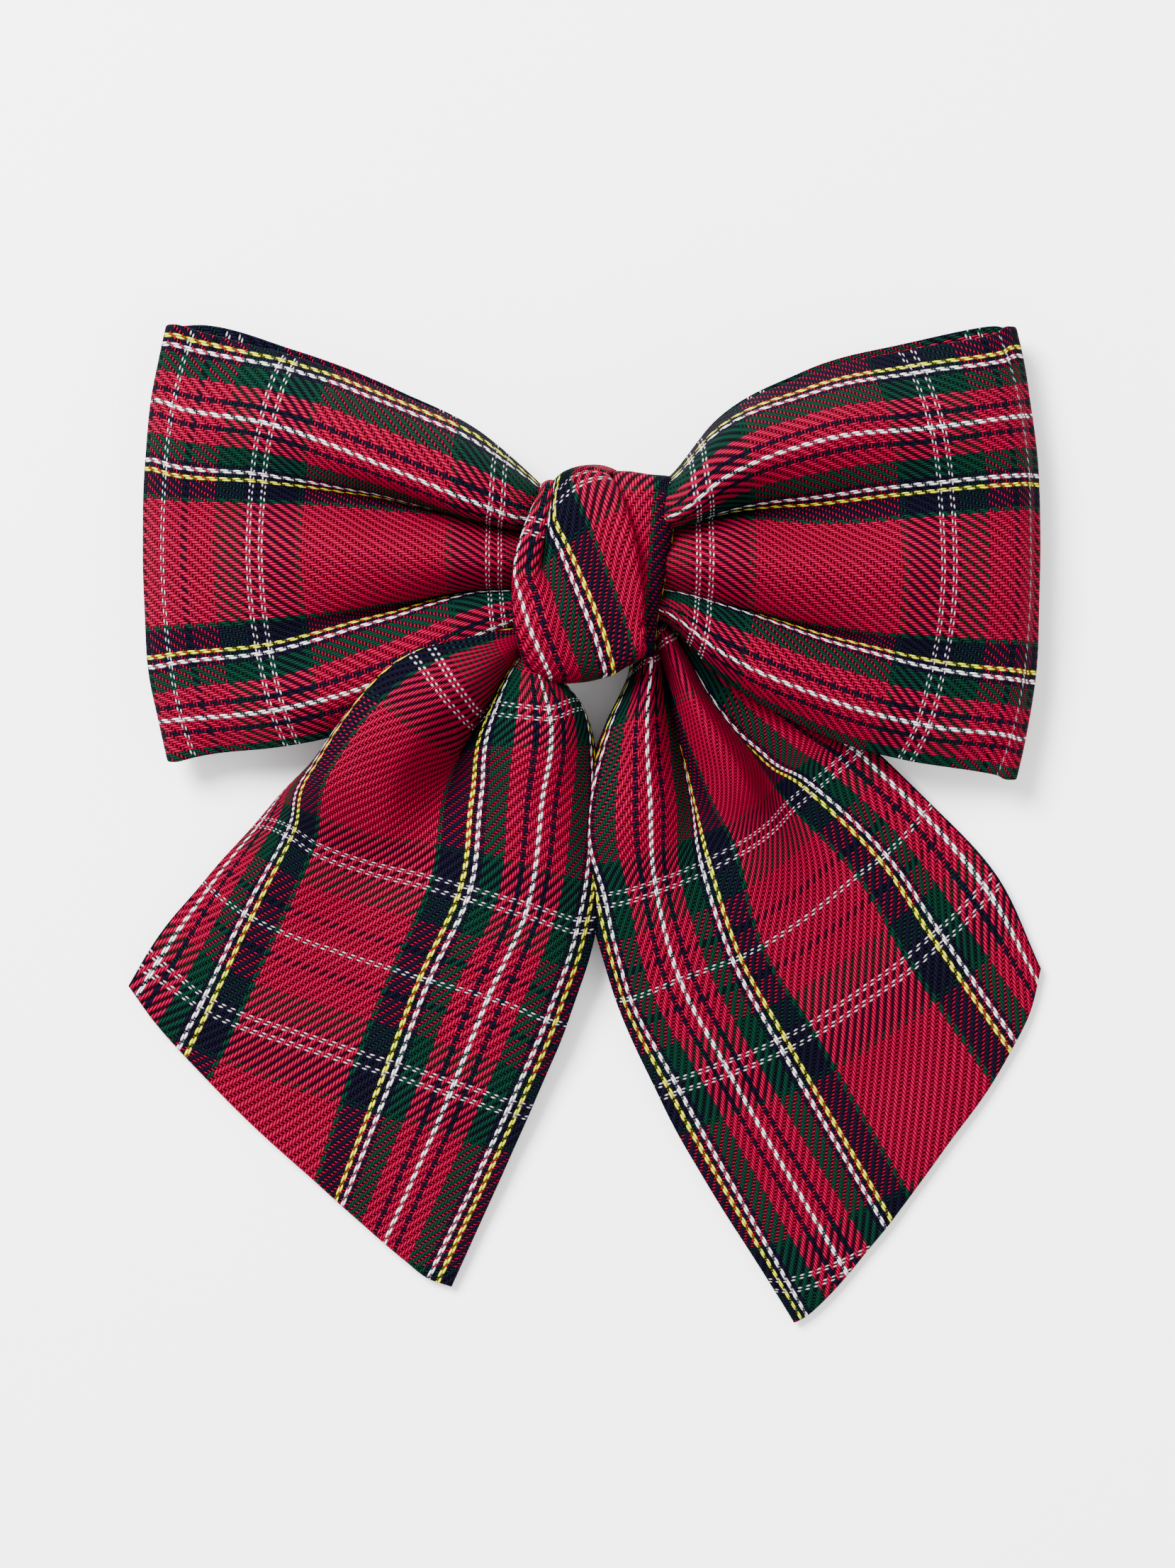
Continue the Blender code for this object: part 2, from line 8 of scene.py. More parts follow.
import bpy
import numpy as np
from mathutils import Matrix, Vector


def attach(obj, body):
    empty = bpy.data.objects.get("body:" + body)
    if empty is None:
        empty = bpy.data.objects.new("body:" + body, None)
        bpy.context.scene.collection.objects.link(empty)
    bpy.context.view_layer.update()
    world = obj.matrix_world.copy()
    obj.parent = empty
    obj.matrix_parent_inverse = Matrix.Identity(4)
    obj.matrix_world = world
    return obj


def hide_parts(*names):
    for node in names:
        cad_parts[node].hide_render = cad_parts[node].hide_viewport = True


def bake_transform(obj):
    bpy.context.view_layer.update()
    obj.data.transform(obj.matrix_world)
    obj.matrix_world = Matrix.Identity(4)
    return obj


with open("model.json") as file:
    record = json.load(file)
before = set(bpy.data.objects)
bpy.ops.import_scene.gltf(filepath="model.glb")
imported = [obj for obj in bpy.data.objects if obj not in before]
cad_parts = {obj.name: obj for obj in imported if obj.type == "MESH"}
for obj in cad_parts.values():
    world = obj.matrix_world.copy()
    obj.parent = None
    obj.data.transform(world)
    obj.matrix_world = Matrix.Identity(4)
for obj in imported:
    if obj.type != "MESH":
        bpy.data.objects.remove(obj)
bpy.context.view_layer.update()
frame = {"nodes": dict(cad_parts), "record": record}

MM = 0.001
END = 0.404 * MM          # pitch of the warp
PICK = 0.534 * MM         # pitch of the weft
REPEAT = 68               # threads from one mirror line of the check to the next
PLY = 1.15 * MM           # a finished strip: two plies, pressed
STEP = 0.9 * MM           # mesh spacing of the cloth
EDGE_STEPS = (0.0, 0.08, 0.3, 0.65)      # where mesh lines fall in a strip's rounded edge
END_LIP = 0.02 * PLY      # what is left of the edge's rounding at a strip's cut ends
RIPPLE_WAVES = 7
RIPPLE = 0.16 * MM        # size of the loops' and tails' ripples

# ---------------------------------------------------------------- the check and its colours
# The colours are much darker than they look, because the lights are bright enough to whiten the floor.
RED = (0.106, 0.0, 0.0100)
NAVY = (0.0017, 0.0015, 0.0052)
GREEN = (0.0006, 0.0105, 0.0062)
WHITE = (0.34, 0.315, 0.34)
YELLOW = (0.30, 0.29, 0.0)
WEFT_WHITE = (0.25, 0.23, 0.25)

# the check from its white centre line to its next mirror line: (first thread, colour)
WARP_CHECK = (
    (0, WHITE), (1, RED), (5, NAVY), (7, RED), (14, GREEN), (23, NAVY), (25, WHITE), (27, NAVY),
    (29, YELLOW), (31, NAVY), (41, GREEN), (43, RED),
)
WEFT_CHECK = (
    (0, WEFT_WHITE), (1, RED), (7, NAVY), (9, RED), (18, GREEN), (27, NAVY), (28, WEFT_WHITE), (30, NAVY),
    (32, WEFT_WHITE), (34, NAVY), (44, GREEN), (46, RED),
)
# yarn heights, in units of the rise of a float
WARP_RISE = 0.75          # the warp stands over the weft
WARP_ROUND = 1.5          # fall from the middle of a yarn to its sides
WEFT_ROUND = 3.4
WARP_PHASE = -1.0         # these two set where the floats start, so that the yarns interlace
WEFT_PHASE = -3.0
WANDER = 0.5              # how far a yarn strays to its side, in threads
HEIGHT_RANGE = (-0.7, 1.7)
SHADE_RANGE = (0.07, 1.9)     # painted shade in the weave's hollows, painted highlight on the yarn crowns
FIBRE_STRETCH = (3.4, 1.3, 1.0)
FIBRE_RELIEF = 0.55
BUMP_HEIGHT = 0.16 * MM


# ---------------------------------------------------------------- node helpers
class Nodes:
    """Short calls for building a node tree."""

    def __init__(self, tree):
        self.tree = tree

    def add(self, kind, **settings):
        node = self.tree.nodes.new(kind)
        for name, value in settings.items():
            setattr(node, name, value)
        return node

    def put(self, socket, value):
        if isinstance(value, bpy.types.NodeSocket):
            self.tree.links.new(value, socket)
        else:
            socket.default_value = value

    def math(self, operation, *values):
        node = self.add("ShaderNodeMath", operation=operation)
        for socket, value in zip(node.inputs, values):
            self.put(socket, value)
        return node.outputs[0]

    def mix(self, factor, first, second):
        node = self.add("ShaderNodeMix", data_type="RGBA")
        self.put(node.inputs["Factor"], factor)
        self.put(node.inputs["A"], first)
        self.put(node.inputs["B"], second)
        return node.outputs["Result"]

    def shade(self, colour, amount):
        """The colour times a grey amount."""
        node = self.add("ShaderNodeMix", data_type="RGBA", blend_type="MULTIPLY")
        self.put(node.inputs["Factor"], 1.0)
        self.put(node.inputs["A"], colour)
        self.put(node.inputs["B"], amount)
        return node.outputs["Result"]

    def ramp(self, value, stops, interpolation="CONSTANT"):
        node = self.add("ShaderNodeValToRGB")
        node.color_ramp.interpolation = interpolation
        elements = node.color_ramp.elements
        while len(elements) < len(stops):
            elements.new(1.0)
        for element, (place, colour) in zip(elements, stops):
            element.position = place
            element.color = (*colour, 1.0)
        self.put(node.inputs["Fac"], value)
        return node.outputs["Color"]

    def noise(self, vector, scale, detail=2.0, rough=0.5):
        node = self.add("ShaderNodeTexNoise")
        self.put(node.inputs["Vector"], vector)
        node.inputs["Scale"].default_value = scale
        node.inputs["Detail"].default_value = detail
        node.inputs["Roughness"].default_value = rough
        return node.outputs["Fac"]

    def bump(self, shader, height, strength, distance):
        node = self.add("ShaderNodeBump")
        node.inputs["Strength"].default_value = strength
        node.inputs["Distance"].default_value = distance
        self.put(node.inputs["Height"], height)
        self.put(shader.inputs["Normal"], node.outputs["Normal"])


def new_material(name):
    material = bpy.data.materials.new(name)
    material.use_nodes = True
    nodes = Nodes(material.node_tree)
    return material, nodes, material.node_tree.nodes["Principled BSDF"]


# ---------------------------------------------------------------- materials
def tartan_material():
    """2/2 twill from the thread coordinates in UV: U counts warp ends and V counts weft picks."""
    material, n, shader = new_material("tartan_twill")
    uv = n.add("ShaderNodeUVMap", uv_map="threads").outputs["UV"]
    position = n.add("ShaderNodeTexCoord").outputs["Object"]
    split = n.add("ShaderNodeSeparateXYZ")
    n.put(split.inputs[0], uv)
    wander = n.noise(position, 700.0, 2.0)
    end = n.math("ADD", split.outputs["X"], n.math("MULTIPLY_ADD", wander, WANDER, -WANDER / 2))
    pick = n.math("ADD", split.outputs["Y"], n.math("MULTIPLY_ADD", wander, -WANDER, WANDER / 2))
    end_index = n.math("FLOOR", end)
    pick_index = n.math("FLOOR", pick)

    def check_colour(index, check):
        """Colour of a thread: the index runs up and down the check between its mirror lines."""
        half = n.math("PINGPONG", n.math("ADD", index, 0.5), float(REPEAT))
        stops = [(first / REPEAT, colour) for first, colour in check]
        return n.ramp(n.math("DIVIDE", half, float(REPEAT)), stops)

    def float_height(along, across, index, phase, roundness):
        """Height of a yarn: a wave along it over two threads and under two, round across it."""
        turns = n.math("MULTIPLY", n.math("ADD", n.math("ADD", along, index), phase), math.pi / 2)
        wave = n.math("COSINE", turns)
        middle = n.math("SUBTRACT", n.math("FRACT", across), 0.5)
        bow = n.math("MULTIPLY", n.math("MULTIPLY", middle, middle), 4.0)
        return n.math("SUBTRACT", wave, n.math("MULTIPLY", bow, roundness))

    warp_height = n.math("ADD", float_height(pick, end, end_index, WARP_PHASE, WARP_ROUND), WARP_RISE)
    weft_height = float_height(end, pick, pick_index, WEFT_PHASE, WEFT_ROUND)
    warp_on_top = n.math("GREATER_THAN", warp_height, weft_height)
    height = n.math("MAXIMUM", warp_height, weft_height)

    warp = check_colour(end_index, WARP_CHECK)
    weft = check_colour(pick_index, WEFT_CHECK)
    yarn = n.mix(warp_on_top, weft, warp)

    # fine fibres, stretched along the weft
    stretch = n.add("ShaderNodeVectorMath", operation="MULTIPLY")
    n.put(stretch.inputs[0], uv)
    stretch.inputs[1].default_value = FIBRE_STRETCH
    fibres = n.noise(stretch.outputs[0], 1.6, 3.0, 0.65)
    # painted shade and painted highlight: the colour is darkened in the hollows between yarns and lightened
    # on their crowns, from the yarn height
    depth = n.add("ShaderNodeMapRange", interpolation_type="SMOOTHSTEP")
    n.put(depth.inputs["Value"], height)
    for name, value in zip(("From Min", "From Max", "To Min", "To Max"), HEIGHT_RANGE + SHADE_RANGE):
        depth.inputs[name].default_value = value
    painted_shade_and_fibre_tone = n.math("MULTIPLY", depth.outputs["Result"], n.math("MULTIPLY_ADD", fibres, 0.5, 0.75))
    patchy = n.math("MULTIPLY_ADD", n.noise(position, 90.0, 3.0), 0.22, 0.89)
    # the yarn colour times the painted shade and highlight, the fibre tone and random patches
    n.put(shader.inputs["Base Color"], n.shade(yarn, n.math("MULTIPLY", painted_shade_and_fibre_tone, patchy)))

    relief = n.math("ADD", height, n.math("MULTIPLY", fibres, FIBRE_RELIEF))
    n.bump(shader, relief, 0.85, BUMP_HEIGHT)
    shader.inputs["Roughness"].default_value = 0.62
    shader.inputs["Specular IOR Level"].default_value = 0.012
    return material


def thread_material():
    """Sewing thread: two plies twisted together."""
    material, n, shader = new_material("sewing_thread")
    position = n.add("ShaderNodeTexCoord").outputs["Object"]
    wave = n.add("ShaderNodeTexWave", bands_direction="DIAGONAL")
    n.put(wave.inputs["Vector"], position)
    wave.inputs["Scale"].default_value = 900.0
    wave.inputs["Distortion"].default_value = 1.5
    # the darker and lighter bands are painted shade in the grooves between the twisted plies and painted
    # highlight on their crowns
    tones = ((0.0, (0.22, 0.01, 0.03)), (1.0, (0.5, 0.03, 0.07)))
    n.put(shader.inputs["Base Color"], n.ramp(wave.outputs["Fac"], tones, "LINEAR"))
    n.bump(shader, wave.outputs["Fac"], 0.6, 0.08 * MM)
    shader.inputs["Roughness"].default_value = 0.6
    return material


def steel_material(name, colour, rough, grain_scale):
    """Plated or spring steel with drawn grain and faint handling marks."""
    material, n, shader = new_material(name)
    position = n.add("ShaderNodeTexCoord").outputs["Object"]
    drawn = n.add("ShaderNodeVectorMath", operation="MULTIPLY")
    n.put(drawn.inputs[0], position)
    drawn.inputs[1].default_value = (0.05, 1.0, 1.0)
    grain = n.noise(drawn.outputs[0], grain_scale, 3.0, 0.6)
    marks = n.noise(position, 260.0, 4.0, 0.6)
    tone = n.math("MULTIPLY_ADD", marks, 0.24, 0.86)
    n.put(shader.inputs["Base Color"], n.shade((*colour, 1.0), tone))
    n.put(shader.inputs["Roughness"], n.math("MULTIPLY_ADD", grain, 0.22, rough - 0.08))
    shader.inputs["Metallic"].default_value = 1.0
    n.bump(shader, grain, 0.25, 0.03 * MM)
    return material


def floor_material():
    material, n, shader = new_material("pale_floor")
    position = n.add("ShaderNodeTexCoord").outputs["Object"]
    cloudy = n.noise(position, 9.0, 3.0)
    tones = ((0.0, (0.905, 0.895, 0.90)), (1.0, (0.93, 0.92, 0.925)))
    n.put(shader.inputs["Base Color"], n.ramp(cloudy, tones, "LINEAR"))
    shader.inputs["Roughness"].default_value = 0.9
    shader.inputs["Specular IOR Level"].default_value = 0.1
    return material


# ---------------------------------------------------------------- cloth surfaces
def spline(keys, values, places):
    """A smooth curve through values at keys, read at places. Values run along the first axis."""
    keys = np.asarray(keys, float)
    values = np.asarray(values, float)
    order = np.argsort(keys)
    keys = keys[order]
    values = values[order]
    slopes = np.empty_like(values)
    gaps = np.diff(keys)
    lead = (values[1:] - values[:-1]) / gaps.reshape(-1, *[1] * (values.ndim - 1))
    share = (gaps[1:] / (gaps[1:] + gaps[:-1])).reshape(-1, *[1] * (values.ndim - 1))
    slopes[1:-1] = lead[:-1] * share + lead[1:] * (1 - share)
    slopes[0] = lead[0]
    slopes[-1] = lead[-1]
    places = np.clip(np.asarray(places, float), keys[0], keys[-1])
    cell = np.clip(np.searchsorted(keys, places, side="right") - 1, 0, len(keys) - 2)
    gap = gaps[cell]
    u = (places - keys[cell]) / gap
    shape = (-1, *[1] * (values.ndim - 1))
    u = u.reshape(shape)
    gap = gap.reshape(shape)
    return (
        values[cell] * (1 + 2 * u) * (1 - u) ** 2 + slopes[cell] * gap * u * (1 - u) ** 2
        + values[cell + 1] * u * u * (3 - 2 * u) + slopes[cell + 1] * gap * u * u * (u - 1)
    )


def spaced(low, high, pitch, edge):
    """Thread places about one mesh step apart, closer together at both rounded edges."""
    count = max(4, int(round((high - low) * pitch / STEP)))
    inside = np.linspace(low, high, count + 1)[1:-1]
    close = np.array(EDGE_STEPS) * edge / pitch
    inside = inside[(inside > low + edge / pitch) & (inside < high - edge / pitch)]
    return np.concatenate((low + close, inside, high - close[::-1]))


def sheet_points(ends, picks, cage, end_places, pick_places):
    """The cage is [pick][end] -> (x, y, z) in mm. Returns dense points in metres."""
    cage = np.asarray(cage, float)
    across = np.stack([spline(ends, row, end_places) for row in cage])
    return spline(picks, across, pick_places) * MM


def surface_normals(points):
    """Unit normals of a grid of points, from its own rows and columns."""
    along = np.gradient(points, axis=0)
    across = np.gradient(points, axis=1)
    normals = np.cross(across, along)
    return normals / np.maximum(np.linalg.norm(normals, axis=2, keepdims=True), 1e-12)


def cloth_object(name, points, end_uv, pick_uv, material, flip):
    """A closed strip of two pressed plies round a middle surface, with rounded edges.

    flip is 1 or -1: the side of the middle surface that the outer ply is on.
    """
    rows, columns = points.shape[:2]
    normals = surface_normals(points) * flip
    steps = np.linalg.norm(np.diff(points, axis=1), axis=2)
    run = np.concatenate((np.zeros((rows, 1)), np.cumsum(steps, axis=1)), axis=1)
    edge = np.minimum(run, run[:, -1:] - run)
    steps = np.linalg.norm(np.diff(points, axis=0), axis=2)
    length = np.concatenate((np.zeros((1, columns)), np.cumsum(steps, axis=0)), axis=0)
    edge = np.minimum(edge, np.minimum(length, length[-1:] - length) + END_LIP)
    near = np.clip(edge / (PLY / 2), 0, 1)
    half = PLY / 2 * np.sqrt(np.clip(1 - (1 - near) ** 2, 0, 1))
    outer = points + normals * half[..., None]
    inner = points - normals * half[..., None]
    ring = np.concatenate((outer, inner[:, -2:0:-1]), axis=1)
    around = ring.shape[1]
    faces = []
    for row in range(rows - 1):
        for step in range(around):
            after = (step + 1) % around
            quad = (row * around + step, row * around + after,
                    (row + 1) * around + after, (row + 1) * around + step)
            faces.append(quad[::flip])
    for row, turn in ((0, 1), (rows - 1, -1)):
        base = row * around
        for step in range(columns - 1):
            left = base + (around - step) % around
            right = base + (around - step - 1) % around
            if step == columns - 2:
                cap = (base + step, left, base + columns - 1)
            elif step == 0:
                cap = (base, right, base + 1)
            else:
                cap = (base + step, left, right, base + step + 1)
            faces.append(cap[::turn * flip])
    mesh = bpy.data.meshes.new(name)
    mesh.from_pydata(ring.reshape(-1, 3).tolist(), [], faces)
    uv_layer = mesh.uv_layers.new(name="threads")
    # the inner ply mirrors the check at both edges and has its seam down the middle
    middle = columns // 2
    far_side = 2 * end_uv[:, -1:] - end_uv[:, -2:0:-1]
    near_side = 2 * end_uv[:, :1] - end_uv[:, -2:0:-1]
    inner_columns = np.arange(columns - 2, 0, -1)
    inner_end = np.where(inner_columns >= middle, far_side, near_side)
    ring_end = np.concatenate((end_uv, inner_end), axis=1)
    ring_pick = np.concatenate((pick_uv, pick_uv[:, -2:0:-1]), axis=1)
    loops = np.empty(len(mesh.loops), np.int32)
    mesh.loops.foreach_get("vertex_index", loops)
    pairs = np.stack((ring_end.reshape(-1)[loops], ring_pick.reshape(-1)[loops]), axis=1)
    # the face that holds the seam takes both its sides from the far edge's mirror
    seam = columns + int(np.argmax(inner_columns < middle)) - 1
    face_of = np.repeat(np.arange(len(mesh.polygons)), [len(f) for f in faces])
    on_seam = np.zeros(len(mesh.polygons), bool)
    on_seam[: (rows - 1) * around] = np.arange((rows - 1) * around) % around == seam
    jump = (loops % around == seam + 1) & on_seam[face_of]
    pairs[jump, 0] = 2 * end_uv[0, -1] - end_uv[0, middle - 1]
    uv_layer.data.foreach_set("uv", pairs.astype(np.float32).reshape(-1))
    mesh.update()
    mesh.shade_smooth()
    mesh.materials.append(material)
    piece = bpy.data.objects.new(name, mesh)
    bpy.context.scene.collection.objects.link(piece)
    return piece


def ripple(points, size, scale, seed):
    """Small uneven waves that pressed cloth keeps, as a sum of sine waves about scale long."""
    rng = np.random.default_rng(seed)
    lift = np.zeros(points.shape[:2])
    for _ in range(RIPPLE_WAVES):
        direction = rng.normal(size=3)
        direction /= np.linalg.norm(direction)
        phase = rng.uniform(0, 2 * math.pi)
        wave = rng.uniform(0.6, 1.7) / scale
        lift += np.sin(points @ direction * wave * 2 * math.pi + phase)
    return points + surface_normals(points) * (lift * size / 4)[..., None]


# ---------------------------------------------------------------- loops
# Each column is one warp end and each row one weft pick. x follows from the pick's own x at the
# middle and at the edges, because the weft lines bow outwards between the loop's edges.
LEFT_ENDS = (-35, -20, 0, 20, 34, 46, 68, 90, 102, 114, 136, 154)
LEFT_FRONT = (
    # pick, x at the middle, x at the edges, y of each end, z of each end
    (-122, -8.0, -8.0,
     (12.5, 11, 7.5, 5.5, 5.2, 4.5, 1, -2.4, -3, -4.2, -6.8, -8),
     (13.5, 15, 16.5, 15.5, 14, 15, 16.5, 15, 14, 14.5, 15.5, 14)),
    (-112, -13.4, -12.6,
     (16.8, 14.2, 8.0, 6.2, 6.4, 5.0, 1.0, -3.0, -3.6, -5.0, -8.5, -10.5),
     (12.5, 17.5, 20.0, 16.0, 12.5, 14.5, 19.0, 15.0, 12.5, 15.0, 16.5, 12.0)),
    (-99, -20.0, -18.5,
     (21.8, 17.8, 10.2, 7.8, 8.2, 6.8, 1.2, -3.2, -4.0, -5.6, -11.0, -13.5),
     (12.0, 19.0, 22.3, 16.5, 11.5, 14.5, 21.0, 15.0, 11.5, 15.5, 17.0, 11.5)),
    (-71, -35.5, -33.0,
     (28.8, 24.3, 16.3, 12.6, 11.4, 8.2, 1.6, -5.4, -7.4, -10.4, -18.4, -24.0),
     (12.5, 18.5, 22.0, 16.5, 12.0, 14.5, 20.5, 15.5, 12.0, 15.0, 16.5, 10.5)),
    (-31, -57.0, -51.0,
     (35.6, 31.2, 23.8, 17.5, 13.2, 9.6, 1.2, -7.6, -12.0, -16.0, -24.0, -30.0),
     (10.5, 14.5, 17.0, 15.2, 13.8, 14.3, 16.5, 14.8, 13.2, 13.6, 14.0, 9.5)),
    (-2, -71.8, -66.8,
     (40.0, 34.4, 26.8, 19.4, 14.2, 10.2, 1.2, -8.6, -13.2, -17.6, -25.6, -32.0),
     (8.4, 9.8, 10.8, 10.6, 10.4, 10.6, 11.0, 10.4, 10.0, 9.8, 9.4, 7.6)),
)
LEFT_FOLD = (
    9, -76.2, -72.0,
    (41.3, 35.6, 28.3, 20.6, 15.2, 10.6, 1.0, -8.8, -13.6, -18.4, -26.0, -33.0),
)
RIGHT_ENDS = (-40, -20, 0, 20, 34, 46, 68, 90, 102, 114, 136, 156)
RIGHT_FRONT = (
    (-150, 8.0, 8.0,
     (11.5, 10, 7.0, 5.6, 5.3, 4.4, 0.8, -2.8, -3.3, -4.2, -6.2, -7.4),
     (13.5, 15, 16.5, 15.5, 14, 15, 16.5, 15, 14.5, 15.0, 16.0, 15.0)),
    (-157, 12.9, 12.2,
     (14.2, 12.4, 8.0, 6.4, 6.6, 5.2, 0.6, -3.5, -4.0, -5.0, -7.8, -9.3),
     (13.0, 17.5, 20.0, 16.0, 12.5, 14.5, 19.0, 15.0, 13.5, 16.0, 17.5, 14.0)),
    (-173, 22.0, 20.0,
     (23.6, 20.3, 14.3, 10.4, 9.0, 6.8, 0.5, -5.4, -6.2, -7.6, -14.0, -17.2),
     (12.5, 19.0, 22.0, 16.5, 11.8, 14.5, 21.0, 15.5, 12.6, 16.0, 18.0, 13.0)),
    (-202, 38.5, 35.0,
     (31.8, 26.8, 20.6, 13.9, 9.7, 5.8, -1.0, -8.8, -10.9, -13.4, -21.2, -26.6),
     (12.0, 18.0, 21.5, 17.0, 12.6, 14.5, 20.5, 16.0, 13.0, 16.0, 17.5, 11.5)),
    (-241, 59.6, 52.6,
     (36.6, 30.5, 23.1, 16.4, 11.6, 7.4, -1.4, -10.6, -14.8, -18.7, -26.6, -32.6),
     (10.5, 14.2, 16.8, 15.4, 13.8, 14.3, 16.5, 14.8, 13.3, 13.7, 14.0, 9.8)),
    (-270, 73.2, 68.2,
     (39.8, 32.8, 25.4, 17.8, 12.6, 8.6, -1.2, -11.2, -16.0, -20.6, -28.4, -35.2),
     (8.2, 9.6, 10.6, 10.4, 10.2, 10.4, 10.8, 10.2, 9.8, 9.6, 9.2, 7.4)),
)
RIGHT_FOLD = (
    -282, 75.4, 71.2,
    (41.0, 33.6, 25.7, 17.8, 12.6, 8.6, -1.2, -11.4, -16.2, -20.9, -29.0, -36.0),
)
FOLD_Z = 6.6              # height of the outer fold's middle
FOLD_HALF = 1.3           # half the fold's depth
FOLD_SET_BACK = 0.9       # how far the fold's two sides stand back from its middle
FOLD_PICKS = 2.6          # picks from the fold's middle to either side
FOLD_ZONE = 7             # picks on either side of the fold that get a finer mesh
FOLD_ROWS = 29
BULGE_POWER = 2.2         # how square the weft lines' bow is
BACK_HEIGHTS = (4.6, 6.6, 8.4, 9.7, 10.2, 10.6)   # of the back panel, from the fold to the knot
BACK_FLATNESS = 0.65      # 0 follows the front panel's folds, 1 has none
PEEK = 1.5                # how far the back panel shows above the front panel's top edge
PEEK_REACH = 45.0         # the peek fades out from here to the knot
BACK_TUCK = 0.6           # how far it stays inside the front panel's bottom edge


def bowed_row(ends, x_middle, x_edge, heights_y, heights_z):
    """One weft line: it stands furthest out half way between the loop's two edges."""
    share = (np.asarray(ends, float) - ends[0]) / (ends[-1] - ends[0])
    x = x_middle + (x_edge - x_middle) * np.abs(2 * share - 1) ** BULGE_POWER
    z = np.broadcast_to(np.asarray(heights_z, float), share.shape)
    return np.stack((x, np.asarray(heights_y, float), z), axis=1)


def loop_cage(ends, front, fold, direction):
    """Front panel from the knot to the fold, round it and back to the knot behind."""
    picks = [row[0] for row in front]
    cage = [bowed_row(ends, *row[1:]) for row in front]
    pick, x_middle, x_edge, heights_y = fold
    inwards = -math.copysign(FOLD_SET_BACK, x_middle)
    for step, shift in ((-1, inwards), (0, 0.0), (1, inwards)):
        picks.append(pick + step * direction * FOLD_PICKS)
        z = FOLD_Z - step * FOLD_HALF
        cage.append(bowed_row(ends, x_middle + shift, x_edge + shift, heights_y, z))
    share = np.linspace(0, 1, len(ends))
    for (old, x_mid, x_end, heights_y, _), z in zip(front[::-1], BACK_HEIGHTS):
        top = max(heights_y) + PEEK * min(1.0, abs(x_mid) / PEEK_REACH)
        bottom = min(heights_y) + BACK_TUCK
        level = top + (bottom - top) * share
        flat = (1 - BACK_FLATNESS) * np.asarray(heights_y, float) + BACK_FLATNESS * level
        flat[0] = top
        picks.append(2 * pick - old)
        cage.append(bowed_row(ends, x_mid, x_end, flat, z))
    return picks, cage


def make_loop(name, ends, front, fold, direction, node, material, seed):
    """direction is 1 where the picks count up from the knot to the fold, else -1."""
    picks, cage = loop_cage(ends, front, fold, direction)
    end_places = spaced(ends[0], ends[-1], END, PLY / 2)
    order = np.array(picks) * direction
    first, last = order[0], order[-1]
    pick_places = np.linspace(first, last, int((last - first) * PICK / STEP))
    crease = fold[0] * direction
    close = crease + np.linspace(-FOLD_ZONE, FOLD_ZONE, FOLD_ROWS)
    away = pick_places[np.abs(pick_places - crease) > FOLD_ZONE]
    pick_places = np.unique(np.concatenate((away, close)))
    points = sheet_points(ends, order, cage, end_places, pick_places)
    points = ripple(points, RIPPLE, 17 * MM, seed)
    end_uv, pick_uv = np.meshgrid(end_places, pick_places * direction)
    piece = cloth_object(name, points, end_uv, pick_uv, material, -direction)
    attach(piece, "bow")
    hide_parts(node)
    return piece


# ---------------------------------------------------------------- tails
TAIL_ENDS = (-36, -26, -13, 0, 13, 28, 43, 68, 93, 106, 124, 142)
